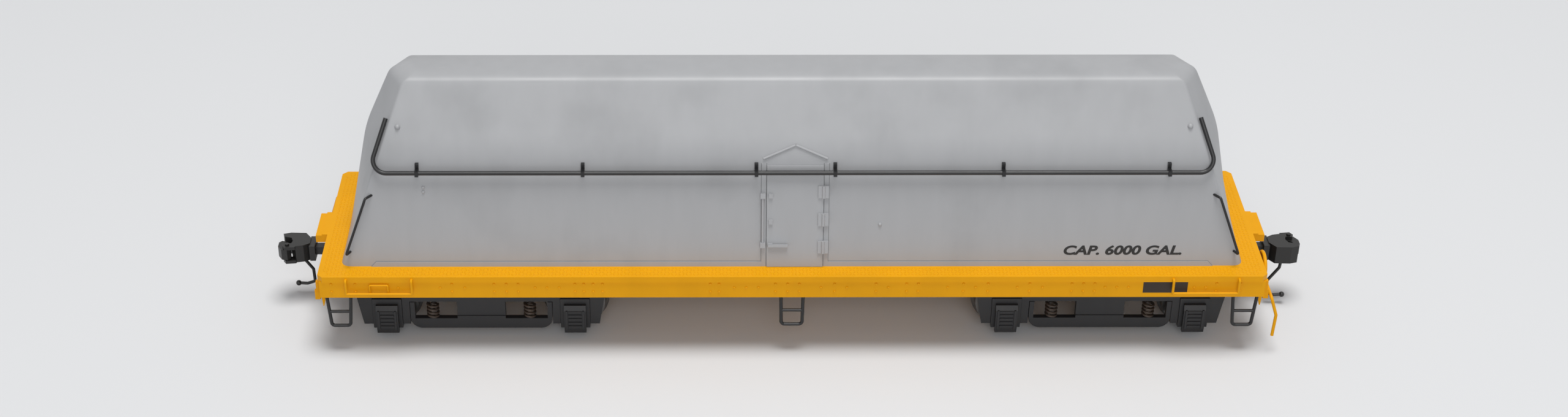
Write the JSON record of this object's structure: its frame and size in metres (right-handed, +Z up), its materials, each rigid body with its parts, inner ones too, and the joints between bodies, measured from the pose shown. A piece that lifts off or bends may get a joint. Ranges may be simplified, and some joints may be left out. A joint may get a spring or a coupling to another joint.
{
  "type": "model railway covered hopper wagon",
  "caption": "Scale model of a closed hood-bodied covered wagon on a flat underframe with walkways, swivelling sprung-look trucks, free wheels and knuckle couplers.",
  "frame": {"origin": "centre of the wagon on the surface that the wheel flanges stand on", "axes": "+X along the wagon towards the brake wheel end, +Y across it towards the rear side, +Z up"},
  "size_m": [0.181, 0.0364, 0.0478],
  "materials": {
    "grey_hood": "satin painted plastic",
    "yellow_frame": "satin painted plastic",
    "black_wire": "black painted wire",
    "black_underframe": "matt black plastic",
    "truck_black": "matt dark plastic",
    "coupler_metal": "satin black",
    "wheel_metal": "turned metal, darkened",
    "axle_plastic": "dark steel",
    "weight_metal": "raw steel",
    "screw_metal": "blackened steel"
  },
  "bodies": {
    "car": {"brake_wheel": "yellow_frame", "centre_sill": "black_underframe", "corner_brackets": "yellow_frame", "corner_grab_irons": "black_wire", "corner_plates": "yellow_frame", "corner_steps": "black_wire", "deck": "yellow_frame", "door_hinges": "grey_hood", "door_latches": "grey_hood", "draft_boxes": "black_underframe", "drip_rails": "grey_hood", "front_pipe_rail": "black_wire", "front_side_sill": "yellow_frame", "hood": "grey_hood", "kingpins": "screw_metal", "left_end_sill": "yellow_frame", "middle_steps": "black_wire", "rear_pipe_rail": "black_wire", "rear_side_sill": "yellow_frame", "right_end_sill": "yellow_frame", "rope_staples": "yellow_frame", "side_doors": "grey_hood", "sill_grab_irons": "yellow_frame", "uncoupling_levers": "yellow_frame", "weight_block": "weight_metal"},
    "left_truck": {"left_truck_bolster": "truck_black", "left_truck_equalizers": "truck_black", "left_truck_journal_boxes": "truck_black", "left_truck_leaf_springs": "truck_black", "left_truck_side_frames": "truck_black", "left_truck_springs": "truck_black"},
    "left_outer_wheelset": {"left_outer_wheelset_axle": "axle_plastic", "left_outer_wheelset_wheels": "wheel_metal"},
    "left_inner_wheelset": {"left_inner_wheelset_axle": "axle_plastic", "left_inner_wheelset_wheels": "wheel_metal"},
    "left_coupler": {"left_coupler": "coupler_metal", "left_coupler_trip_pin": "coupler_metal"},
    "left_knuckle": {"left_coupler_knuckle": "coupler_metal"},
    "right_truck": {"right_truck_bolster": "truck_black", "right_truck_equalizers": "truck_black", "right_truck_journal_boxes": "truck_black", "right_truck_leaf_springs": "truck_black", "right_truck_side_frames": "truck_black", "right_truck_springs": "truck_black"},
    "right_outer_wheelset": {"right_outer_wheelset_axle": "axle_plastic", "right_outer_wheelset_wheels": "wheel_metal"},
    "right_inner_wheelset": {"right_inner_wheelset_axle": "axle_plastic", "right_inner_wheelset_wheels": "wheel_metal"},
    "right_coupler": {"right_coupler": "coupler_metal", "right_coupler_trip_pin": "coupler_metal"},
    "right_knuckle": {"right_coupler_knuckle": "coupler_metal"}
  },
  "joints": [
    {"name": "left_truck_swivel", "type": "hinge", "parent": "car", "child": "left_truck", "pos_m": [-0.0539, 0, 0.0112], "axis": [0, 0, 1], "range_deg": [-10, 10]},
    {"name": "left_outer_wheelset_spin", "type": "hinge", "parent": "left_truck", "child": "left_outer_wheelset", "pos_m": [-0.07025, 0, 0.00582], "axis": [0, 1, 0], "continuous": true},
    {"name": "left_inner_wheelset_spin", "type": "hinge", "parent": "left_truck", "child": "left_inner_wheelset", "pos_m": [-0.03755, 0, 0.00582], "axis": [0, 1, 0], "continuous": true},
    {"name": "left_coupler_swing", "type": "hinge", "parent": "car", "child": "left_coupler", "pos_m": [-0.0752, 0, 0.0106], "axis": [0, 0, 1], "range_deg": [-12, 12]},
    {"name": "left_knuckle_open", "type": "hinge", "parent": "left_coupler", "child": "left_knuckle", "pos_m": [-0.08875, -0.0015, 0.0106], "axis": [0, 0, 1], "range_deg": [0, 30]},
    {"name": "right_truck_swivel", "type": "hinge", "parent": "car", "child": "right_truck", "pos_m": [0.0539, 0, 0.0112], "axis": [0, 0, 1], "range_deg": [-10, 10]},
    {"name": "right_outer_wheelset_spin", "type": "hinge", "parent": "right_truck", "child": "right_outer_wheelset", "pos_m": [0.07025, 0, 0.00582], "axis": [0, 1, 0], "continuous": true},
    {"name": "right_inner_wheelset_spin", "type": "hinge", "parent": "right_truck", "child": "right_inner_wheelset", "pos_m": [0.03755, 0, 0.00582], "axis": [0, 1, 0], "continuous": true},
    {"name": "right_coupler_swing", "type": "hinge", "parent": "car", "child": "right_coupler", "pos_m": [0.0752, 0, 0.0106], "axis": [0, 0, 1], "range_deg": [-12, 12]},
    {"name": "right_knuckle_open", "type": "hinge", "parent": "right_coupler", "child": "right_knuckle", "pos_m": [0.08875, 0.0015, 0.0106], "axis": [0, 0, 1], "range_deg": [0, 30]}
  ]
}
